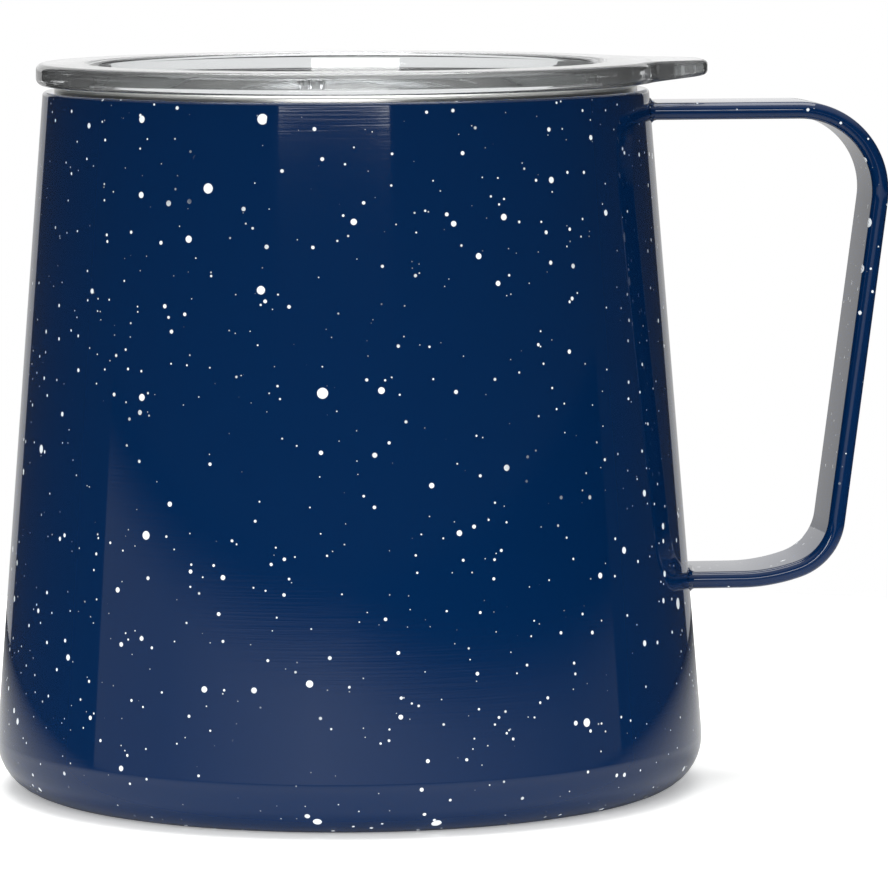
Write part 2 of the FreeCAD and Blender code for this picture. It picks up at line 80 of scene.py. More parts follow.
def letGo(test):
    # lets go of the selected edges whose two ends (in mm) pass the test together
    mesh = bmesh.from_edit_mesh(bpy.context.object.data)
    for edge in mesh.edges:
        if edge.select and test(*(vert.co * 1000 for vert in edge.verts)):
            edge.select_set(False)
    bmesh.update_edit_mesh(bpy.context.object.data)


def takeUp(piece):
    deselectAll()
    piece.select_set(True)
    bpy.context.view_layer.objects.active = piece


def radiusOf(point):
    return math.hypot(point.x, point.y)


def finishPiece(name, smoothAngle=35):
    # merges doubles, points the normals outwards and puts the place into the mesh
    if bpy.context.object.mode != "EDIT":
        bpy.ops.object.mode_set(mode="EDIT")
    bpy.ops.mesh.select_all(action="SELECT")
    bpy.ops.mesh.remove_doubles(threshold=mm(doubles))
    bpy.ops.mesh.normals_make_consistent(inside=False)
    bpy.ops.object.mode_set(mode="OBJECT")
    piece = bpy.context.object
    piece.name = name
    piece.data.name = name
    bpy.ops.object.transform_apply(location=True, rotation=True, scale=True)
    smoothFaces(piece, smoothAngle)
    return piece


def smoothFaces(piece, smoothAngle=35):
    # smooth shading in which the large faces stay true and only the roundings between them turn
    bpy.ops.mesh.customdata_custom_splitnormals_clear()
    bpy.ops.object.shade_smooth_by_angle(angle=math.radians(smoothAngle))
    modifier = piece.modifiers.new("trueFaces", "WEIGHTED_NORMAL")
    modifier.weight = 100  # the largest faces decide
    modifier.keep_sharp = True
    bpy.ops.object.modifier_apply(modifier=modifier.name)


def cornerTurn(before, here, after):
    # the angle that an outline turns through at a corner
    first = Vector(here[:2]) - Vector(before[:2])
    second = Vector(after[:2]) - Vector(here[:2])
    return first.angle(second)


def facets(turn, step, fewest):
    # how many facets a rounding has, at so many degrees each
    return max(fewest, round(math.degrees(turn) / step))


def onRing(point, ring):
    return abs(radiusOf(point) - ring[0]) < onLine and abs(point.z - ring[1]) < onLine


def turned(name, corners, steps=192, smoothAngle=35):
    # a lathe-turned piece: a ring is drawn through (radius, height[, rounding]) corners and closed,
    # as a tube, or with a flat at each end where the first and last corners are on the axis
    deselectAll()
    onAxis = corners[0][0] == 0
    rings = corners[1:-1] if onAxis else corners
    radius, height = rings[0][:2]
    bpy.ops.mesh.primitive_circle_add(vertices=steps, radius=mm(radius), location=(0, 0, mm(height)))
    bpy.ops.object.transform_apply(location=True)
    bpy.ops.object.mode_set(mode="EDIT")
    for ring in rings[1:]:
        bpy.ops.mesh.extrude_edges_move(TRANSFORM_OT_translate={"value": (0, 0, mm(ring[1] - height))})
        grow = ring[0] / radius
        bpy.ops.transform.resize(value=(grow, grow, 1), center_override=(0, 0, 0))
        radius, height = ring[:2]
    if onAxis:
        for ring in (rings[0], rings[-1]):
            selectWhere("EDGE", lambda p: onRing(p, ring))
            bpy.ops.mesh.edge_face_add()
    else:
        selectWhere("EDGE", lambda p: onRing(p, rings[0]) or onRing(p, rings[-1]))
        bpy.ops.mesh.bridge_edge_loops()
    roundRings(corners)
    return finishPiece(name, smoothAngle)


def roundRings(corners):
    for index, corner in enumerate(corners):
        if len(corner) < 3:
            continue
        turn = cornerTurn(corners[index - 1], corner, corners[(index + 1) % len(corners)])
        selectWhere("EDGE", lambda p: onRing(p, corner))
        bpy.ops.mesh.bevel(
            offset=mm(corner[2] * math.tan(turn / 2)), offset_type="OFFSET", affect="EDGES",
            segments=facets(turn, step=9, fewest=4), profile=0.5, clamp_overlap=False,
        )


def plate(name, outline, low, high, edgeRound=0.0, smoothAngle=35):
    # a flat piece: the outline's (x, y[, rounding]) corners are rounded in plan and raised from low to high
    deselectAll()
    bpy.ops.mesh.primitive_circle_add(vertices=len(outline), radius=mm(1), fill_type="NGON",
                                      location=(0, 0, mm(low)))
    bpy.ops.object.transform_apply(location=True)
    bpy.ops.object.mode_set(mode="EDIT")
    starts = [vert.co.copy() for vert in bmesh.from_edit_mesh(bpy.context.object.data).verts]
    for start, corner in zip(starts, outline):
        selectWhere("VERT", lambda p: (p - start * 1000).length < nearby)
        bpy.ops.transform.translate(value=Vector((mm(corner[0]), mm(corner[1]), mm(low))) - start)
    for index, corner in enumerate(outline):
        if len(corner) < 3:
            continue
        turn = cornerTurn(outline[index - 1], corner, outline[(index + 1) % len(outline)])
        selectWhere("VERT", lambda p: math.dist(p[:2], corner[:2]) < nearby)
        bpy.ops.mesh.bevel(offset=mm(corner[2] * math.tan(turn / 2)), offset_type="OFFSET", affect="VERTICES",
                           segments=facets(turn, step=6, fewest=5), profile=0.5, clamp_overlap=False)
    bpy.ops.mesh.select_all(action="SELECT")
    bpy.ops.mesh.extrude_region_move(TRANSFORM_OT_translate={"value": (0, 0, mm(high - low))})
    if edgeRound:
        selectWhere("EDGE", lambda p: abs(p.z - high) < onLine)
        roundSelected(edgeRound)
    return finishPiece(name, smoothAngle)


def roundSelected(size):
    bpy.ops.mesh.bevel(offset=mm(size), offset_type="OFFSET", affect="EDGES", segments=5, profile=0.5,
                       clamp_overlap=False)


def slotPlug(first, second, radius, low, high):
    # a closed plug with round ends at two (x, y) places
    deselectAll()
    bpy.ops.mesh.primitive_cylinder_add(vertices=48, radius=mm(radius), depth=mm(high - low),
                                        location=(mm(first[0]), mm(first[1]), mm((low + high) / 2)))
    bpy.ops.object.transform_apply(location=True)
    bpy.ops.object.mode_set(mode="EDIT")
    reach = Vector((*second, 0)) - Vector((*first, 0))
    if reach.length:
        middle = Vector((*first, 0))
        selectWhere("VERT", lambda p: (p - middle).dot(reach) > -onLine)
        bpy.ops.transform.translate(value=reach / 1000)
    return finishPiece("plug")


def combine(piece, other, operation):
    # joins another closed piece to this one, or cuts it away, and removes the other
    modifier = piece.modifiers.new(operation.lower(), "BOOLEAN")
    modifier.operation = operation
    modifier.solver = "EXACT"
    modifier.object = other
    takeUp(piece)
    bpy.ops.object.modifier_apply(modifier=modifier.name)
    bpy.data.objects.remove(other)


def dress(piece, material, body, slotName, *nodes):
    # gives a new piece its material and body, and hides the CAD nodes that it stands for
    piece.data.materials.clear()
    piece.data.materials.append(material)
    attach(piece, body)
    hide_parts(*nodes)


# small tools for materials

def fromHex(code):
    # sRGB hex to the linear colour that the shaders take
    def linear(channel):
        value = int(channel, 16) / 255
        return value / 12.92 if value <= 0.04045 else ((value + 0.055) / 1.055) ** 2.4
    return tuple(linear(code[i:i + 2]) for i in (1, 3, 5)) + (1.0,)


def newMaterial(name):
    material = bpy.data.materials.new(name)
    material.use_nodes = True
    material.node_tree.nodes.clear()
    return material, material.node_tree


def addNode(tree, kind, values=None, links=None, **settings):
    node = tree.nodes.new(kind)
    for setting, value in settings.items():
        setattr(node, setting, value)
    for socket, value in (values or {}).items():
        node.inputs[socket].default_value = value
    for socket, source in (links or {}).items():
        tree.links.new(source, node.inputs[socket])
    return node


def surfaceOut(tree, shader):
    addNode(tree, "ShaderNodeOutputMaterial", links={"Surface": shader.outputs[0]})


# powder coat, sprayed on steel and baked, flicked with white paint under a clear topcoat: a deep even navy
# whose whole shine is the topcoat's, with the steel's turning lines faint in it. The lines are drawn at two
# or three times their real spacing, because the real ones are too fine to show.

coatFinish = {
    "navy": "#021f43", "paint": "#e9eff2",
    "roughness": 0.3, "ior": 1.5, "underShine": 0.0,
    "topcoat": 1.0, "topcoatRoughness": 0.045, "topcoatIor": 1.5,
    "peelSize": 2.2, "peelDepth": 0.001,  # orange peel, mm
    "lineSize": 0.25, "lineDepth": 0.0014, "lineStretch": 0.02,  # turning lines, mm, and how far they run on
    # dots: cell of the scatter in mm, largest radius in mm, how few are large, share of cells with a dot
    "dots": [(6.6, 0.74, 0.8, 1.0), (3.1, 0.42, 0.9, 1.0), (2.0, 0.25, 0.8, 1.0), (1.8, 0.14, 0.8, 1.0)],
    "layerShift": (13, 29, 7),  # mm from one layer of dots to the next, so that they don't sit together
    "smallest": 0.4, "dotEdge": 0.035,  # share of a layer's largest dot; how far a dot fades at its rim, mm
    "patchSize": 24, "patchThin": 0.3, "patchFull": 0.42,  # the smaller dots fall in loose clusters, mm
    # long flicks: a layer of dots, stretched along a slanting line (radians)
    "streak": (17, 0.26, 1.0, 0.8), "streakStretch": 5.0, "streakSlant": (0.5, 0.4, 0.2),
}


def dotLayer(tree, place, cell, largest, few, share, patches=None):
    # each cell of a 3-D scatter holds one ball, and the surface cuts some of them as round dots
    cells = addNode(tree, "ShaderNodeTexVoronoi", {"Scale": 1 / mm(cell), "Randomness": 1.0},
                    {"Vector": place})
    luck = addNode(tree, "ShaderNodeSeparateColor", links={"Color": cells.outputs["Color"]})
    size = addNode(tree, "ShaderNodeMath", {1: 1 / few + 1}, {0: luck.outputs["Red"]}, operation="POWER")
    present = addNode(tree, "ShaderNodeMath", {1: share}, {0: luck.outputs["Green"]}, operation="LESS_THAN")
    radius = addNode(tree, "ShaderNodeMapRange", {
        "To Min": largest / cell * coatFinish["smallest"], "To Max": largest / cell,
    }, {"Value": size.outputs[0]})
    gap = addNode(tree, "ShaderNodeMath", links={0: cells.outputs["Distance"], 1: radius.outputs[0]},
                  operation="SUBTRACT")
    soft = coatFinish["dotEdge"] / cell
    dot = addNode(tree, "ShaderNodeMapRange", {"From Min": -soft, "From Max": soft, "To Min": 1, "To Max": 0},
                  {"Value": gap.outputs[0]})
    shown = addNode(tree, "ShaderNodeMath", links={0: dot.outputs[0], 1: present.outputs[0]},
                    operation="MULTIPLY")
    if patches is None:
        return shown
    return addNode(tree, "ShaderNodeMath", links={0: shown.outputs[0], 1: patches}, operation="MULTIPLY")


def speckledCoat():
    material, tree = newMaterial("navySpeckledPowderCoat")
    finish = coatFinish
    place = addNode(tree, "ShaderNodeTexCoord").outputs["Object"]
    patchNoise = addNode(tree, "ShaderNodeTexNoise", {"Scale": 1 / mm(finish["patchSize"]), "Detail": 1.0},
                         {"Vector": place})
    patches = addNode(tree, "ShaderNodeMapRange",
                      {"From Min": finish["patchThin"], "From Max": finish["patchFull"]},
                      {"Value": patchNoise.outputs[0]})
    paint = None
    for index, dots in enumerate(finish["dots"]):
        # the largest dots fall everywhere, the others in patches
        across, back, up = finish["layerShift"]
        shift = (mm(across * (index + 3)), mm(back * index), mm(up * index))
        shifted = addNode(tree, "ShaderNodeMapping", {"Location": shift}, {"Vector": place})
        layer = dotLayer(tree, shifted.outputs[0], *dots, patches=patches.outputs[0] if index else None)
        if paint is None:
            paint = layer
        else:
            paint = addNode(tree, "ShaderNodeMath", links={0: paint.outputs[0], 1: layer.outputs[0]},
                            operation="MAXIMUM")
    # a few long flicks: the same scatter, squeezed along one slanting line
    slant = addNode(tree, "ShaderNodeMapping",
                    {"Rotation": finish["streakSlant"], "Scale": (1, 1, 1 / finish["streakStretch"])},
                    {"Vector": place})
    streaks = dotLayer(tree, slant.outputs[0], *finish["streak"])
    paint = addNode(tree, "ShaderNodeMath", links={0: paint.outputs[0], 1: streaks.outputs[0]},
                    operation="MAXIMUM")
    colour = addNode(tree, "ShaderNodeMix", {"A": fromHex(finish["navy"]), "B": fromHex(finish["paint"])},
                     {"Factor": paint.outputs[0]}, data_type="RGBA")
    peel = addNode(tree, "ShaderNodeTexNoise", {"Scale": 1 / mm(finish["peelSize"]), "Detail": 2.0},
                   {"Vector": place})
    along = finish["lineStretch"]
    squeezed = addNode(tree, "ShaderNodeMapping", {"Scale": (along, along, 1)}, {"Vector": place})
    lines = addNode(tree, "ShaderNodeTexNoise", {"Scale": 1 / mm(finish["lineSize"]), "Detail": 3.0},
                    {"Vector": squeezed.outputs[0]})
    peelBump = addNode(tree, "ShaderNodeBump", {"Strength": 1.0, "Distance": mm(finish["peelDepth"])},
                       {"Height": peel.outputs[0]})
    lineBump = addNode(tree, "ShaderNodeBump", {"Strength": 1.0, "Distance": mm(finish["lineDepth"])},
                       {"Height": lines.outputs[0], "Normal": peelBump.outputs[0]})
    shader = addNode(tree, "ShaderNodeBsdfPrincipled", {
        "Roughness": finish["roughness"], "IOR": finish["ior"], "Specular IOR Level": finish["underShine"],
        "Coat Weight": finish["topcoat"], "Coat Roughness": finish["topcoatRoughness"],
        "Coat IOR": finish["topcoatIor"],
    }, {"Base Color": colour.outputs["Result"], "Normal": lineBump.outputs[0],
        "Coat Normal": lineBump.outputs[0]})
    surfaceOut(tree, shader)
    return material


# stainless steel, turned on a lathe and wiped clean: a bright warm grey that draws its reflections out along
# fine rings round the axis. The rings are drawn at about five times their real spacing, so that they show.

steelFinish = {
    "linerTone": "#e0dfdb", "linerRoughness": 0.3, "baseTone": "#cfccc6", "baseRoughness": 0.36,
    "lineSize": 0.25, "lineDepth": 0.0012, "lineStretch": 0.03,  # turning rings, mm, and how far they run on
    "smearSize": 18, "brighter": 0.8, "duller": 1.25,  # mm, wiped patches, and their share of the roughness
}


def turnedSteel(name, tone, roughness):
    material, tree = newMaterial(name)
    finish = steelFinish
    along = finish["lineStretch"]
    place = addNode(tree, "ShaderNodeTexCoord").outputs["Object"]
    squeezed = addNode(tree, "ShaderNodeMapping", {"Scale": (along, along, 1)}, {"Vector": place})
    lines = addNode(tree, "ShaderNodeTexNoise", {"Scale": 1 / mm(finish["lineSize"]), "Detail": 3.0},
                    {"Vector": squeezed.outputs[0]})
    smears = addNode(tree, "ShaderNodeTexNoise", {"Scale": 1 / mm(finish["smearSize"]), "Detail": 3.0},
                     {"Vector": place})
    dull = addNode(tree, "ShaderNodeMapRange", {
        "To Min": roughness * finish["brighter"], "To Max": roughness * finish["duller"],
    }, {"Value": smears.outputs[0]})
    bump = addNode(tree, "ShaderNodeBump", {"Strength": 1.0, "Distance": mm(finish["lineDepth"])},
                   {"Height": lines.outputs[0]})
    shader = addNode(tree, "ShaderNodeBsdfPrincipled", {"Base Color": fromHex(tone), "Metallic": 1.0},
                     {"Roughness": dull.outputs[0], "Normal": bump.outputs[0]})
    surfaceOut(tree, shader)
    return material


# clear copolyester, injection moulded: hard and glassy, a little grey where it is thick, with the mould's
# slow flow ripples in its reflections

plasticFinish = {
    "tone": "#eaeced", "clear": 0.95,  # the rest is the slight haze of a used lid
    "roughness": 0.02, "ior": 1.57,
    "flowSize": 9, "flowDepth": 0.004,  # flow ripples, mm
}


def clearPlastic():
    material, tree = newMaterial("clearMouldedCopolyester")
    finish = plasticFinish
    place = addNode(tree, "ShaderNodeTexCoord").outputs["Object"]
    flow = addNode(tree, "ShaderNodeTexNoise", {"Scale": 1 / mm(finish["flowSize"]), "Detail": 1.5},
                   {"Vector": place})
    bump = addNode(tree, "ShaderNodeBump", {"Strength": 1.0, "Distance": mm(finish["flowDepth"])},
                   {"Height": flow.outputs[0]})
    shader = addNode(tree, "ShaderNodeBsdfPrincipled", {
        "Base Color": fromHex(finish["tone"]), "Roughness": finish["roughness"], "IOR": finish["ior"],
        "Transmission Weight": finish["clear"],
    }, {"Normal": bump.outputs[0]})
    surfaceOut(tree, shader)
    return material


# silicone rubber, compression moulded: milky and soft, with a broad dull shine. The mould's grain is drawn at
# about three times its real size, so that it shows.

siliconeFinish = {
    "tone": "#d9dbd8", "roughness": 0.38, "ior": 1.41, "clear": 0.35,
    "grainSize": 0.6, "grainDepth": 0.01, "grainStrength": 0.4,  # mm
}


def siliconeRubber():
    material, tree = newMaterial("milkySiliconeRubber")
    finish = siliconeFinish
    place = addNode(tree, "ShaderNodeTexCoord").outputs["Object"]
    grain = addNode(tree, "ShaderNodeTexNoise", {"Scale": 1 / mm(finish["grainSize"]), "Detail": 2.0},
                    {"Vector": place})
    bump = addNode(tree, "ShaderNodeBump", {
        "Strength": finish["grainStrength"], "Distance": mm(finish["grainDepth"]),
    }, {"Height": grain.outputs[0]})
    shader = addNode(tree, "ShaderNodeBsdfPrincipled", {
        "Base Color": fromHex(finish["tone"]), "Roughness": finish["roughness"], "IOR": finish["ior"],
        "Transmission Weight": finish["clear"],
    }, {"Normal": bump.outputs[0]})
    surfaceOut(tree, shader)
    return material


# what is sealed in the vacuum: rolled copper foil, finely creased and bright; solder glass, fused, dark and
# glassy; a getter of sintered metal powder, grey and matt

hiddenFinish = {
    # tone, metallic, roughness, grain in mm
    "copperFoil": ("#b8714a", 1.0, 0.28, 3.0),
    "solderGlass": ("#2a2a30", 0.0, 0.08, 0.8),
    "sinteredGetterAlloy": ("#4c4a48", 0.6, 0.7, 0.3),
}
hiddenGrain = {"depth": 0.02, "strength": 0.6, "brighter": 0.7, "duller": 1.3}  # depth in mm


def grainyPart(name):
    material, tree = newMaterial(name)
    finish = hiddenGrain
    tone, metallic, roughness, grainSize = hiddenFinish[name]
    place = addNode(tree, "ShaderNodeTexCoord").outputs["Object"]
    grain = addNode(tree, "ShaderNodeTexNoise", {"Scale": 1 / mm(grainSize), "Detail": 4.0},
                    {"Vector": place})
    dull = addNode(tree, "ShaderNodeMapRange", {
        "To Min": roughness * finish["brighter"], "To Max": roughness * finish["duller"],
    }, {"Value": grain.outputs[0]})
    bump = addNode(tree, "ShaderNodeBump", {"Strength": finish["strength"], "Distance": mm(finish["depth"])},
                   {"Height": grain.outputs[0]})
    shader = addNode(tree, "ShaderNodeBsdfPrincipled", {"Base Color": fromHex(tone), "Metallic": metallic},
                     {"Roughness": dull.outputs[0], "Normal": bump.outputs[0]})
    surfaceOut(tree, shader)
    return material


coat = speckledCoat()
linerSteel = turnedSteel("turnedStainlessSteel", steelFinish["linerTone"], steelFinish["linerRoughness"])
baseSteel = turnedSteel("brushedStainlessSteel", steelFinish["baseTone"], steelFinish["baseRoughness"])
plastic = clearPlastic()
silicone = siliconeRubber()
hiddenParts = {
    "foil_shield": grainyPart("copperFoil"),
    "vacuum_seal": grainyPart("solderGlass"),
    "getter": grainyPart("sinteredGetterAlloy"),
    "getter_clip": baseSteel,
}
for name, material in hiddenParts.items():
    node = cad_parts[name]
    node.data.materials.clear()
    node.data.materials.append(material)
print("materials made")


def topOf(node):
    # the height of a node's highest point, mm
    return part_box(node)[1].z * 1000


# the cup's walls

shellShape = {"foot": 45.555, "footRound": 6.39, "footInner": 35.2, "mouth": 38.36, "shoulder": 0.5,
              "wall": 0.6, "mouthWeld": 36.9}


def wallRadius(height):
    shape = shellShape
    return shape["foot"] - (shape["foot"] - shape["mouth"]) * height / topOf("outer_shell")


def makeShell():
    shape = shellShape
    wall, top = shape["wall"], topOf("outer_shell")
    under = top - wall
    shell = turned("shellWall", [
        (shape["footInner"], 0),
        (shape["foot"], 0, shape["footRound"]),
        (shape["mouth"], top, shape["shoulder"]),
        (shape["mouthWeld"], top),
        (shape["mouthWeld"], under),
        (wallRadius(under) - wall, under),
        (wallRadius(wall) - wall, wall, shape["footRound"] - wall),
        (shape["footInner"], wall),
    ], steps=fineSteps)
    dress(shell, coat, "cup", "shell_coat", "outer_shell")


linerShape = {"bore": 35.4, "boreEnd": 79.0, "wall": 0.5, "lipRound": 0.6, "foot": 41.6, "floor": 7.5,
              "footRound": 5.0, "floorWeld": 36.0, "floorStep": 24.0, "floorRise": 0.6,
              "floorBend": 0.6}


def makeLiner():
    shape = linerShape
    wall, lip, floor = shape["wall"], topOf("inner_liner"), shape["floor"]
    underLip = topOf("outer_shell") - shellShape["wall"]
    liner = turned("linerWall", [
        (shape["bore"], lip, shape["lipRound"]),
        (shellShape["mouthWeld"], lip, shape["lipRound"]),
        (shellShape["mouthWeld"], underLip),
        (shape["bore"] + wall, underLip - wall * 2),
        (shape["bore"] + wall, shape["boreEnd"]),
        (shape["foot"] + wall, floor - wall, shape["footRound"] + wall),
        (shape["floorWeld"], floor - wall),
        (shape["floorWeld"], floor),
        (shape["foot"], floor, shape["footRound"]),
        (shape["bore"], shape["boreEnd"]),
    ], steps=fineSteps)
    dress(liner, linerSteel, "cup", "liner_steel", "inner_liner")
    step, rise, bend = shape["floorStep"], shape["floorRise"], shape["floorBend"]
    bottom = turned("linerFloor", [
        (0, floor - wall + rise),
        (step - rise, floor - wall + rise, bend),
        (step, floor - wall, bend),
        (shape["floorWeld"], floor - wall),
        (shape["floorWeld"], floor),
        (step, floor, bend),
        (step - rise, floor + rise, bend),
        (0, floor + rise),
    ])
    dress(bottom, linerSteel, "cup", "liner_steel", "liner_bottom")


baseShape = {"pan": 2.0, "panWall": 0.6, "panBend": 0.6, "skirt": 0.15, "skirtRound": 0.2,
             "dimple": 5.0, "rise": 0.8, "hole": 0.8,
             "cover": 0.8, "coverWall": 0.4, "coverGap": 0.1, "coverEdge": 0.3}


def makeBase():
    shape = baseShape
    under, wall, bend = shape["pan"], shape["panWall"], shape["panBend"]
    rise, rim = shape["rise"], shellShape["footInner"]
    pan = turned("basePan", [
        (shape["hole"], under + rise),
        (shape["dimple"], under + rise, bend),
        (shape["dimple"] + rise, under, bend),
        (rim - wall, under),
        (rim - wall, shape["skirt"], shape["skirtRound"]),
        (rim, shape["skirt"]),
        (rim, under + wall),
        (shape["dimple"] + rise, under + wall, bend),
        (shape["dimple"], under + rise + wall, bend),
        (shape["hole"], under + rise + wall),
    ])
    dress(pan, baseSteel, "cup", "base_steel", "outer_bottom")
    low, thin = shape["cover"], shape["coverWall"]
    edge = rim - wall - shape["coverGap"]
    cover = turned("baseCover", [
        (0, low), (edge, low, shape["coverEdge"]), (edge, under),
        (edge - thin, under), (edge - thin, low + thin), (0, low + thin),
    ])
    dress(cover, baseSteel, "cup", "base_steel", "bottom_cover")


makeShell()
makeLiner()
makeBase()
print("cup made")


# the handle: one flat strap with round edges, bent three times, welded at both ends

strapShape = {"thick": 2.2, "wide": 13.0, "topBendX": 57.26, "topBend": 10.35, "low": 26.05,
              "sweepX": 49.8, "sweepBend": 23.0, "lowBendX": 54.85, "lowBend": 7.3, "rootDepth": 0.55,
              "sides": 32}
weldShape = {
    "leg": 0.6, "reach": 0.8,
    # the hollow face, from the wall outwards: share of the reach, share of the leg
    "flare": [(0.08, 1.0), (0.22, 0.62), (0.42, 0.34), (0.65, 0.14), (1.0, 0.03)],
    "station": 0.006,  # how near a point lies to its own station, which is rounded to 0.01
}


def strapSection(x, z, grown=0.0):
    # the strap's section, drawn as a disc whose two halves are pulled apart
    shape = strapShape
    radius, sides = shape["thick"] / 2, shape["sides"]
    deselectAll()
    bpy.ops.mesh.primitive_circle_add(vertices=sides, radius=mm(radius + grown), fill_type="NGON",
                                      rotation=(math.pi / sides, math.pi / 2, 0), location=(mm(x), 0, mm(z)))
    bpy.ops.object.transform_apply(location=True, rotation=True)
    bpy.ops.object.mode_set(mode="EDIT")
    spread = shape["wide"] / 2 - radius
    for side in (-1, 1):
        selectWhere("VERT", lambda p: p.y * side > 0)
        bpy.ops.transform.translate(value=(0, mm(spread * side), 0))
    bpy.ops.mesh.select_mode(type="FACE")
    bpy.ops.mesh.select_all(action="SELECT")


def pushEnd(x, z):
    bpy.ops.mesh.extrude_region_move(TRANSFORM_OT_translate={"value": (mm(x), 0, mm(z))})


def bendEnd(centre, angle):
    bpy.ops.mesh.spin(steps=facets(angle, step=3, fewest=10), angle=angle,
                      center=(mm(centre.x), 0, mm(centre.y)), axis=(0, -1, 0))


def makeStrap():
    shape = strapShape
    top = topOf("handle_strap") - shape["thick"] / 2
    upper = Vector((shape["topBendX"], top - shape["topBend"]))
    sweep = Vector((shape["sweepX"], shape["low"] + shape["sweepBend"]))
    apart, aside = shape["sweepBend"] - shape["lowBend"], shape["lowBendX"] - shape["sweepX"]
    lower = Vector((shape["lowBendX"], sweep.y - math.sqrt(apart ** 2 - aside ** 2)))
    meet = math.atan2(lower.y - sweep.y, lower.x - sweep.x)
    between = upper - lower
    lean = math.asin((shape["topBend"] - shape["lowBend"]) / between.length)
    facing = math.atan2(between.y, between.x) - math.pi / 2 - lean
    start = wallRadius(top) - shape["rootDepth"]
    end = wallRadius(shape["low"]) - shape["rootDepth"]
    strapSection(start, top)
    pushEnd(shape["topBendX"] - start, 0)
    bendEnd(upper, math.pi / 2 - facing)
    outward = Vector((math.cos(facing), math.sin(facing)))
    grip = lower + outward * shape["lowBend"] - upper - outward * shape["topBend"]
    pushEnd(grip.x, grip.y)
    bendEnd(lower, facing - meet)
    bendEnd(sweep, meet + math.pi / 2)
    pushEnd(end - shape["sweepX"], 0)
    strap = finishPiece("handleStrap")
    dress(strap, coat, "cup", "shell_coat", "handle_strap")


def makeWeld(name, height, node):
    # a hollow-faced fillet that flares from the strap to the wall and follows the wall's curve
    shape = strapShape
    wall = wallRadius(height)
    halfWide, halfThick = shape["wide"] / 2, shape["thick"] / 2
    leg, reach = weldShape["leg"], weldShape["reach"]
    place, grown = -shape["rootDepth"], leg
    strapSection(wall + place, height, grown)
    for along, share in weldShape["flare"]:
        pushEnd(along * reach - place, 0)
        wanted = leg * share
        bpy.ops.transform.resize(
            value=(1, (halfWide + wanted) / (halfWide + grown), (halfThick + wanted) / (halfThick + grown)),
            center_override=(0, 0, mm(height)),
        )
        place, grown = along * reach, wanted
    mesh = bmesh.from_edit_mesh(bpy.context.object.data)
    stations = sorted({round(abs(vert.co.y) * 1000, 2) for vert in mesh.verts})
    for station in stations:
        selectWhere("VERT", lambda p: abs(abs(p.y) - station) < weldShape["station"])
        bpy.ops.transform.translate(value=(mm(math.sqrt(wall ** 2 - station ** 2) - wall), 0, 0))
    weld = finishPiece(name, smoothAngle=60)
    dress(weld, coat, "cup", "shell_coat", node)


makeStrap()
makeWeld("upperWeld", topOf("handle_strap") - strapShape["thick"] / 2, "handle_weld_upper")
makeWeld("lowerWeld", strapShape["low"], "handle_weld_lower")
print("handle made")


# the lid, its gasket and its drink slider

lidShape = {
    "rimLow": 89.55, "rimOut": 39.2, "round": 0.9, "plug": 34.4, "plugLow": 81.0, "floorLow": 82.0,
    "floorTop": 84.0, "wellFloor": 31.6, "wellMouth": 32.6, "wellRound": 1.2,
    "grooveLow": 84.2, "grooveHigh": 87.2, "groove": 33.4,
    "tabRoot": 36.5, "tabRootHalf": 13.4, "tabNeck": 38.8, "tabNeckHalf": 9.6, "tabBlend": 4.0,
    "tabTip": 45.8, "tabTipHalf": 5.6, "tabCorner": 4.6, "tabTipLow": 90.4, "tabEdge": 0.6,
    "slotX": -26.0, "slotHalf": 4.0, "slotEnd": 2.5, "vent": (27.0, 0.0), "ventRadius": 1.0,
    "track": ((-15.0, 0.0), (-5.5, 0.0)), "trackEnd": 2.0,
}


def makeTab():
    shape = lidShape
    low, top, root, tip = shape["rimLow"], topOf("lid"), shape["tabRoot"], shape["tabTip"]
    tab = plate("tab", [
        (root, -shape["tabRootHalf"]),
        (shape["tabNeck"], -shape["tabNeckHalf"], shape["tabBlend"]),
        (tip, -shape["tabTipHalf"], shape["tabCorner"]),
        (tip, shape["tabTipHalf"], shape["tabCorner"]),
        (shape["tabNeck"], shape["tabNeckHalf"], shape["tabBlend"]),
        (root, shape["tabRootHalf"]),
    ], low, top)
    takeUp(tab)
    bpy.ops.object.mode_set(mode="EDIT")
    bpy.ops.mesh.select_all(action="SELECT")
    slope = (shape["tabTipLow"] - low) / (tip - root)
    bpy.ops.mesh.bisect(plane_co=(mm(root), 0, mm(low)), plane_no=(slope, 0, -1), use_fill=True,
                        clear_outer=True)

    def onFaceEdge(p):
        underside = low + (p.x - root) * slope
        return abs(p.z - top) < onLine or abs(p.z - underside) < onLine
    selectWhere("EDGE", onFaceEdge)
    # the upright edges and the ones inside the rim stay sharp
    letGo(lambda a, b: abs(a.z - b.z) > (top - low) / 2 or max(a.x, b.x) < root + nearby)
    roundSelected(shape["tabEdge"])
    return finishPiece("tab")


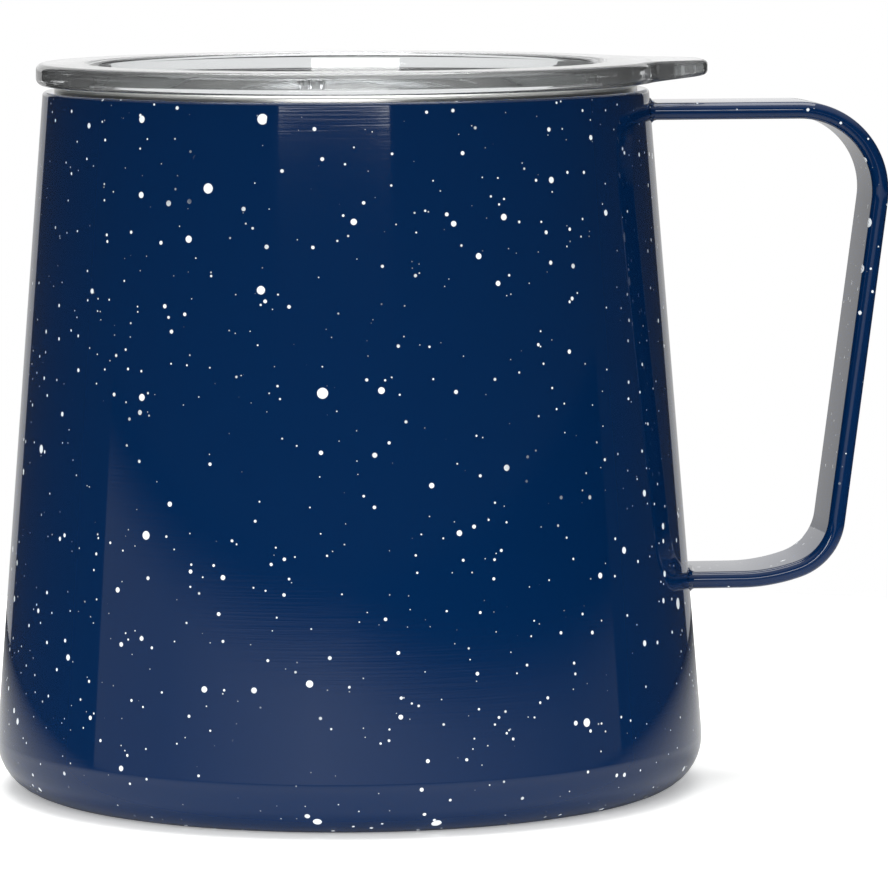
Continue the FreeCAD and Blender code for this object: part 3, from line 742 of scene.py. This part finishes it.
def makeLid():
    shape = lidShape
    top, soft = topOf("lid"), shape["round"]
    lid = turned("lidBody", [
        (0, shape["floorLow"]),
        (shape["wellFloor"], shape["floorLow"]),
        (shape["wellFloor"], shape["plugLow"]),
        (shape["plug"], shape["plugLow"], soft),
        (shape["plug"], shape["grooveLow"]),
        (shape["groove"], shape["grooveLow"]),
        (shape["groove"], shape["grooveHigh"]),
        (shape["plug"], shape["grooveHigh"]),
        (shape["plug"], shape["rimLow"]),
        (shape["rimOut"], shape["rimLow"], soft),
        (shape["rimOut"], top, soft),
        (shape["wellMouth"], top, soft),
        (shape["wellFloor"], shape["floorTop"], shape["wellRound"]),
        (0, shape["floorTop"]),
    ], steps=fineSteps)
    combine(lid, makeTab(), "UNION")
    low, high = shape["floorLow"] - past, shape["floorTop"] + past
    slotX, half = shape["slotX"], shape["slotHalf"]
    for first, second, radius in (
        ((slotX, -half), (slotX, half), shape["slotEnd"]),
        (*shape["track"], shape["trackEnd"]),
        (shape["vent"], shape["vent"], shape["ventRadius"]),
    ):
        combine(lid, slotPlug(first, second, radius, low, high), "DIFFERENCE")
    smoothFaces(lid)
    dress(lid, plastic, "cover", "clear_plastic", "lid")


gasketShape = {"play": 0.1, "face": 34.55, "rib": 35.25, "ribRound": 0.3}


def makeGasket():
    shape, lid = gasketShape, lidShape
    play, face, rib = shape["play"], shape["face"], shape["rib"]
    low, high = lid["grooveLow"] + play, lid["grooveHigh"] - play
    inner, quarter = lid["groove"] + play, (high - low) / 4
    gasket = turned("gasketRing", [
        (inner, low), (face, low),
        (rib, low + quarter, shape["ribRound"]),
        (face, low + quarter * 2 - play), (face, low + quarter * 2 + play),
        (rib, high - quarter, shape["ribRound"]),
        (face, high), (inner, high),
    ], smoothAngle=50)
    dress(gasket, silicone, "seal", "silicone", "lid_gasket")


sliderShape = {
    "low": 84.1, "thick": 1.6, "half": 9.0, "back": -1.5, "nose": -20.5, "corner": 3.5, "edge": 0.4,
    "barX": -4.5, "barLong": 3.0, "barHalf": 6.5, "barCorner": 1.4, "barEdge": 0.9,
    "stem": 1.9, "stemX": -5.5, "footLow": 80.4, "footDisc": 5.0, "footThick": 1.5, "footEdge": 0.3,
}


def rectangle(left, right, half, corner):
    return [(left, -half, corner), (right, -half, corner), (right, half, corner), (left, half, corner)]


def makeSlider():
    shape = sliderShape
    top, middle = shape["low"] + shape["thick"], shape["low"] + shape["thick"] / 2
    slider = plate("drinkSlider", rectangle(shape["nose"], shape["back"], shape["half"], shape["corner"]),
                   shape["low"], top, shape["edge"])
    barBack, barFront = shape["barX"] - shape["barLong"] / 2, shape["barX"] + shape["barLong"] / 2
    bar = plate("bar", rectangle(barBack, barFront, shape["barHalf"], shape["barCorner"]),
                middle, topOf("slider"), shape["barEdge"])
    combine(slider, bar, "UNION")
    stemPlace = (shape["stemX"], 0)
    combine(slider, slotPlug(stemPlace, stemPlace, shape["stem"], shape["footLow"], middle), "UNION")
    smoothFaces(slider)
    dress(slider, plastic, "drink_slider", "clear_plastic", "slider")
    low, high = shape["footLow"], shape["footLow"] + shape["footThick"]
    foot = slotPlug(stemPlace, stemPlace, shape["footDisc"], low, high)
    foot.name = "sliderFoot"
    combine(foot, slotPlug(stemPlace, stemPlace, shape["stem"], low - past, high + past), "DIFFERENCE")
    bpy.ops.object.mode_set(mode="EDIT")
    selectWhere("EDGE", lambda p: abs(math.dist(p[:2], stemPlace) - shape["footDisc"]) < nearby)
    letGo(lambda a, b: abs(a.z - b.z) > nearby)
    roundSelected(shape["footEdge"])
    finishPiece("sliderFoot")
    dress(foot, plastic, "drink_slider", "clear_plastic", "slider_foot")


makeLid()
makeGasket()
makeSlider()
print("lid made")


# camera, floor and studio light

cameraPlace = {
    "side": 12.22, "back": 757.9, "height": 120.17,  # mm from the cup's middle, before the turn
    "turn": -0.10, "pitch": 0.1008, "roll": -0.0044,  # radians
    "lens": 242.25, "sensor": 36, "clip": (0.01, 20),  # mm, mm, m
}


def makeCamera():
    place = cameraPlace
    camera = bpy.data.objects.new("camera", bpy.data.cameras.new("camera"))
    bpy.context.collection.objects.link(camera)
    camera.data.lens = place["lens"]
    camera.data.sensor_width = place["sensor"]
    turn = Matrix.Rotation(place["turn"], 4, "Z")
    spot = Matrix.Translation(Vector((mm(place["side"]), mm(-place["back"]), mm(place["height"]))))
    pitch = Matrix.Rotation(math.pi / 2 - place["pitch"], 4, "X")
    roll = Matrix.Rotation(place["roll"], 4, "Z")
    camera.matrix_world = turn @ spot @ pitch @ roll
    camera.data.clip_start, camera.data.clip_end = place["clip"]
    bpy.context.scene.camera = camera


studio = {
    # the floor: a pale sheet, whose tone in reflections fades from near to far (metres from the middle)
    "floorRadius": 0.2, "floorSides": 128, "floorTone": "#f8f8f6", "floorInGloss": "#d2d2d0",
    # the last two: the floor's own glow, a painted light: extra glow in the scattered light that reaches the
    # cup, and a base glow everywhere but in the gloss
    "glossNear": 0.07, "glossFar": 0.2, "floorDiffuseGlow": 0.35, "floorGlow": 0.3,
    # the room: its strength at the sides and overhead, where one turns to the other, and behind the object
    "dimRoom": 0.038, "ceiling": 0.75, "ceilingFrom": 0.4, "ceilingFull": 0.8, "paper": 1.0,
    # cards: degrees round from the camera's side, half the spread; low, high, distance in metres; glow
    "cardSides": 180,
    "backCards": {
        "backCardHigh": (180, 27, 0.1, 1.2, 1.6, 0.95),
        "backCardLow": (180, 27, -0.3, 0.1, 1.6, 0.58),
    },
    # what shows through the clear lid: white paper with a grey flag at each side
    "behindLid": {
        "backdrop": (183, 11, -0.25, 0.35, 1.5, 1.0),
        "flagRight": (163, 8, -0.25, 0.35, 1.5, 0.2),
        "flagLeft": (199.5, 5, -0.25, 0.35, 1.5, 0.2),
    },
    # the low front card, and its glow: degrees to the right of the camera, strength
    "frontCard": (5, 93, -0.06, 0.08, 1.3),
    "frontGlow": [(-88, 0.36), (-60, 0.4), (-10, 0.85), (30, 0.55), (75, 0.25), (98, 0.22)],
    "frontTop": 0.055, "frontTopFall": 0.0007, "frontSoft": 0.02,  # metres, metres a degree, metres
}
# soft lamps: place, aim and size in metres, strength in watts
lamps = {
    "overheadSoftbox": {"place": (0.0, 0.1, 1.2), "aim": (0, 0, 0), "size": (0.9, 0.9), "watts": 12,
                        "inGloss": True},
    "frontFill": {"place": (-0.26, -1.54, 0.69), "aim": (0, 0, 0.05), "size": (1.25, 0.8), "watts": 17,
                  "inGloss": False},
    "lipStrip": {"place": (-0.27, -1.65, 0.393), "aim": (0, 0, 0.05), "size": (1.25, 0.2), "watts": 6.5,
                 "inGloss": True},
}


def glowingPaper(name, strength):
    material, tree = newMaterial(name)
    surfaceOut(tree, addNode(tree, "ShaderNodeEmission", {"Color": (1, 1, 1, 1), "Strength": strength}))
    return material


def gradedGlow():
    # brightest a little left of the camera, dimmer round the sides; its soft top edge falls to the right
    material, tree = newMaterial("gradedGlow")
    stops = studio["frontGlow"]
    first, span = stops[0][0], stops[-1][0] - stops[0][0]
    place = addNode(tree, "ShaderNodeTexCoord").outputs["Object"]
    facing = addNode(tree, "ShaderNodeMapping", {"Rotation": (0, 0, -cameraPlace["turn"])}, {"Vector": place})
    parts = addNode(tree, "ShaderNodeSeparateXYZ", links={"Vector": facing.outputs[0]})
    front = addNode(tree, "ShaderNodeMath", {1: -1.0}, {0: parts.outputs["Y"]}, operation="MULTIPLY")
    radians = addNode(tree, "ShaderNodeMath", links={0: parts.outputs["X"], 1: front.outputs[0]},
                      operation="ARCTAN2")
    degrees = addNode(tree, "ShaderNodeMath", links={0: radians.outputs[0]}, operation="DEGREES")
    share = addNode(tree, "ShaderNodeMapRange", {"From Min": first, "From Max": first + span},
                    {"Value": degrees.outputs[0]})
    ramp = addNode(tree, "ShaderNodeValToRGB", links={"Fac": share.outputs[0]})
    elements = ramp.color_ramp.elements
    elements[0].position, elements[1].position = 0.0, 1.0
    for stop in stops[1:-1]:
        elements.new((stop[0] - first) / span)
    for element, (degree, glow) in zip(elements, stops):
        element.color = (glow, glow, glow, 1)
    right = addNode(tree, "ShaderNodeMath", {1: 0.0}, {0: degrees.outputs[0]}, operation="MAXIMUM")
    fall = addNode(tree, "ShaderNodeMath", {1: studio["frontTopFall"], 2: -studio["frontTop"]},
                   {0: right.outputs[0]}, operation="MULTIPLY_ADD")
    above = addNode(tree, "ShaderNodeMath", links={0: parts.outputs["Z"], 1: fall.outputs[0]},
                    operation="ADD")
    soft = studio["frontSoft"]
    edge = addNode(tree, "ShaderNodeMapRange", {
        "From Min": -soft, "From Max": soft, "To Min": 1, "To Max": 0,
    }, {"Value": above.outputs[0]}, interpolation_type="SMOOTHSTEP")
    glow = addNode(tree, "ShaderNodeEmission", links={"Color": ramp.outputs[0], "Strength": edge.outputs[0]})
    surfaceOut(tree, glow)
    return material


def card(name, turn, halfAngle, low, high, distance, material):
    # a curved card round the object, which the camera itself doesn't see
    deselectAll()
    bpy.ops.mesh.primitive_circle_add(vertices=studio["cardSides"], radius=distance, location=(0, 0, low))
    bpy.ops.object.transform_apply(location=True)
    bpy.ops.object.mode_set(mode="EDIT")
    middle = math.radians(turn) + cameraPlace["turn"] - math.pi / 2
    bpy.ops.mesh.select_all(action="SELECT")
    bpy.ops.mesh.extrude_edges_move(TRANSFORM_OT_translate={"value": (0, 0, high - low)})
    mesh = bmesh.from_edit_mesh(bpy.context.object.data)
    bpy.ops.mesh.select_mode(type="FACE")
    bpy.ops.mesh.select_all(action="DESELECT")
    for face in mesh.faces:
        centre = face.calc_center_median()
        off = (math.atan2(centre.y, centre.x) - middle + math.pi) % (2 * math.pi) - math.pi
        face.select_set(abs(off) > math.radians(halfAngle))
    bmesh.update_edit_mesh(bpy.context.object.data)
    bpy.ops.mesh.delete(type="FACE")
    bpy.ops.object.mode_set(mode="OBJECT")
    piece = bpy.context.object
    piece.name = name
    piece.data.materials.append(material)
    piece.visible_camera = False
    piece.visible_shadow = False
    return piece


def makeFloor():
    deselectAll()
    bpy.ops.mesh.primitive_circle_add(vertices=studio["floorSides"], radius=studio["floorRadius"],
                                      fill_type="NGON", location=(0, 0, 0))
    floor = bpy.context.object
    floor.name = "floor"
    material, tree = newMaterial("paleFloor")
    # a pale sheet: its tone is full in the scattered light and muted in the gloss. It also glows as a painted
    # light, lighting the cup's lower wall like a lamp and lifting its own shadow towards white where seen,
    # with no glow in the gloss
    rays = addNode(tree, "ShaderNodeLightPath")
    place = addNode(tree, "ShaderNodeTexCoord").outputs["Object"]
    reach = addNode(tree, "ShaderNodeVectorMath", links={0: place}, operation="LENGTH")
    far = addNode(tree, "ShaderNodeMapRange", {
        "From Min": studio["glossNear"], "From Max": studio["glossFar"],
    }, {"Value": reach.outputs["Value"]})
    muted = addNode(tree, "ShaderNodeMix", {"A": fromHex(studio["floorInGloss"]), "B": (0, 0, 0, 1)},
                    {"Factor": far.outputs[0]}, data_type="RGBA")
    tone = addNode(tree, "ShaderNodeMix", {"A": fromHex(studio["floorTone"])},
                   {"Factor": rays.outputs["Is Glossy Ray"], "B": muted.outputs["Result"]}, data_type="RGBA")
    sheet = addNode(tree, "ShaderNodeBsdfDiffuse", links={"Color": tone.outputs["Result"]})
    # painted light: the floor glows, more for the scattered light than where it is seen, and not at all in
    # the gloss
    paintedGlow = addNode(tree, "ShaderNodeMath", {1: studio["floorDiffuseGlow"], 2: studio["floorGlow"]},
                   {0: rays.outputs["Is Diffuse Ray"]}, operation="MULTIPLY_ADD")
    glossless = addNode(tree, "ShaderNodeMath", {0: 1.0}, {1: rays.outputs["Is Glossy Ray"]},
                        operation="SUBTRACT")
    strength = addNode(tree, "ShaderNodeMath", links={0: paintedGlow.outputs[0], 1: glossless.outputs[0]},
                       operation="MULTIPLY")
    glow = addNode(tree, "ShaderNodeEmission", links={"Strength": strength.outputs[0]})
    both = addNode(tree, "ShaderNodeAddShader", links={0: sheet.outputs[0], 1: glow.outputs[0]})
    surfaceOut(tree, both)
    floor.data.materials.append(material)


def makeCards():
    for name, (*place, glow) in studio["backCards"].items():
        card(name, *place, glowingPaper(name + "Paper", glow))
    for name, (*place, glow) in studio["behindLid"].items():
        behind = card(name, *place, glowingPaper(name + "Paper", glow))
        behind.visible_glossy = False
        behind.visible_diffuse = False
    card("frontCardLow", *studio["frontCard"], gradedGlow())


def makeRoom():
    # dim round the sides, so that the coat stays deep, and bright overhead, so that the steel inside is lit
    world = bpy.data.worlds.new("studioRoom")
    bpy.context.scene.world = world
    world.use_nodes = True
    tree = world.node_tree
    tree.nodes.clear()
    seen = addNode(tree, "ShaderNodeLightPath")
    place = addNode(tree, "ShaderNodeTexCoord").outputs["Generated"]
    parts = addNode(tree, "ShaderNodeSeparateXYZ", links={"Vector": place})
    height = addNode(tree, "ShaderNodeMapRange", {
        "From Min": studio["ceilingFrom"], "From Max": studio["ceilingFull"],
        "To Min": studio["dimRoom"], "To Max": studio["ceiling"],
    }, {"Value": parts.outputs["Z"]}, interpolation_type="SMOOTHSTEP")
    room = addNode(tree, "ShaderNodeBackground", {"Color": (1, 1, 1, 1)}, {"Strength": height.outputs[0]})
    paper = addNode(tree, "ShaderNodeBackground", {"Color": (1, 1, 1, 1), "Strength": studio["paper"]})
    mixed = addNode(tree, "ShaderNodeMixShader", links={
        0: seen.outputs["Is Camera Ray"], 1: room.outputs[0], 2: paper.outputs[0],
    })
    addNode(tree, "ShaderNodeOutputWorld", links={"Surface": mixed.outputs[0]})


def makeLamp(name, place, aim, size, watts, inGloss):
    light = bpy.data.lights.new(name, "AREA")
    light.shape = "RECTANGLE"
    light.size, light.size_y = size
    light.energy = watts
    lamp = bpy.data.objects.new(name, light)
    bpy.context.collection.objects.link(lamp)
    lamp.location = place
    lamp.rotation_euler = (Vector(aim) - Vector(place)).to_track_quat("-Z", "Y").to_euler()
    lamp.visible_camera = False
    lamp.visible_glossy = inGloss


makeCamera()
makeFloor()
makeCards()
makeRoom()
for name, settings in lamps.items():
    makeLamp(name, **settings)
bpy.context.scene.view_settings.view_transform = "Standard"

print("scene ready")
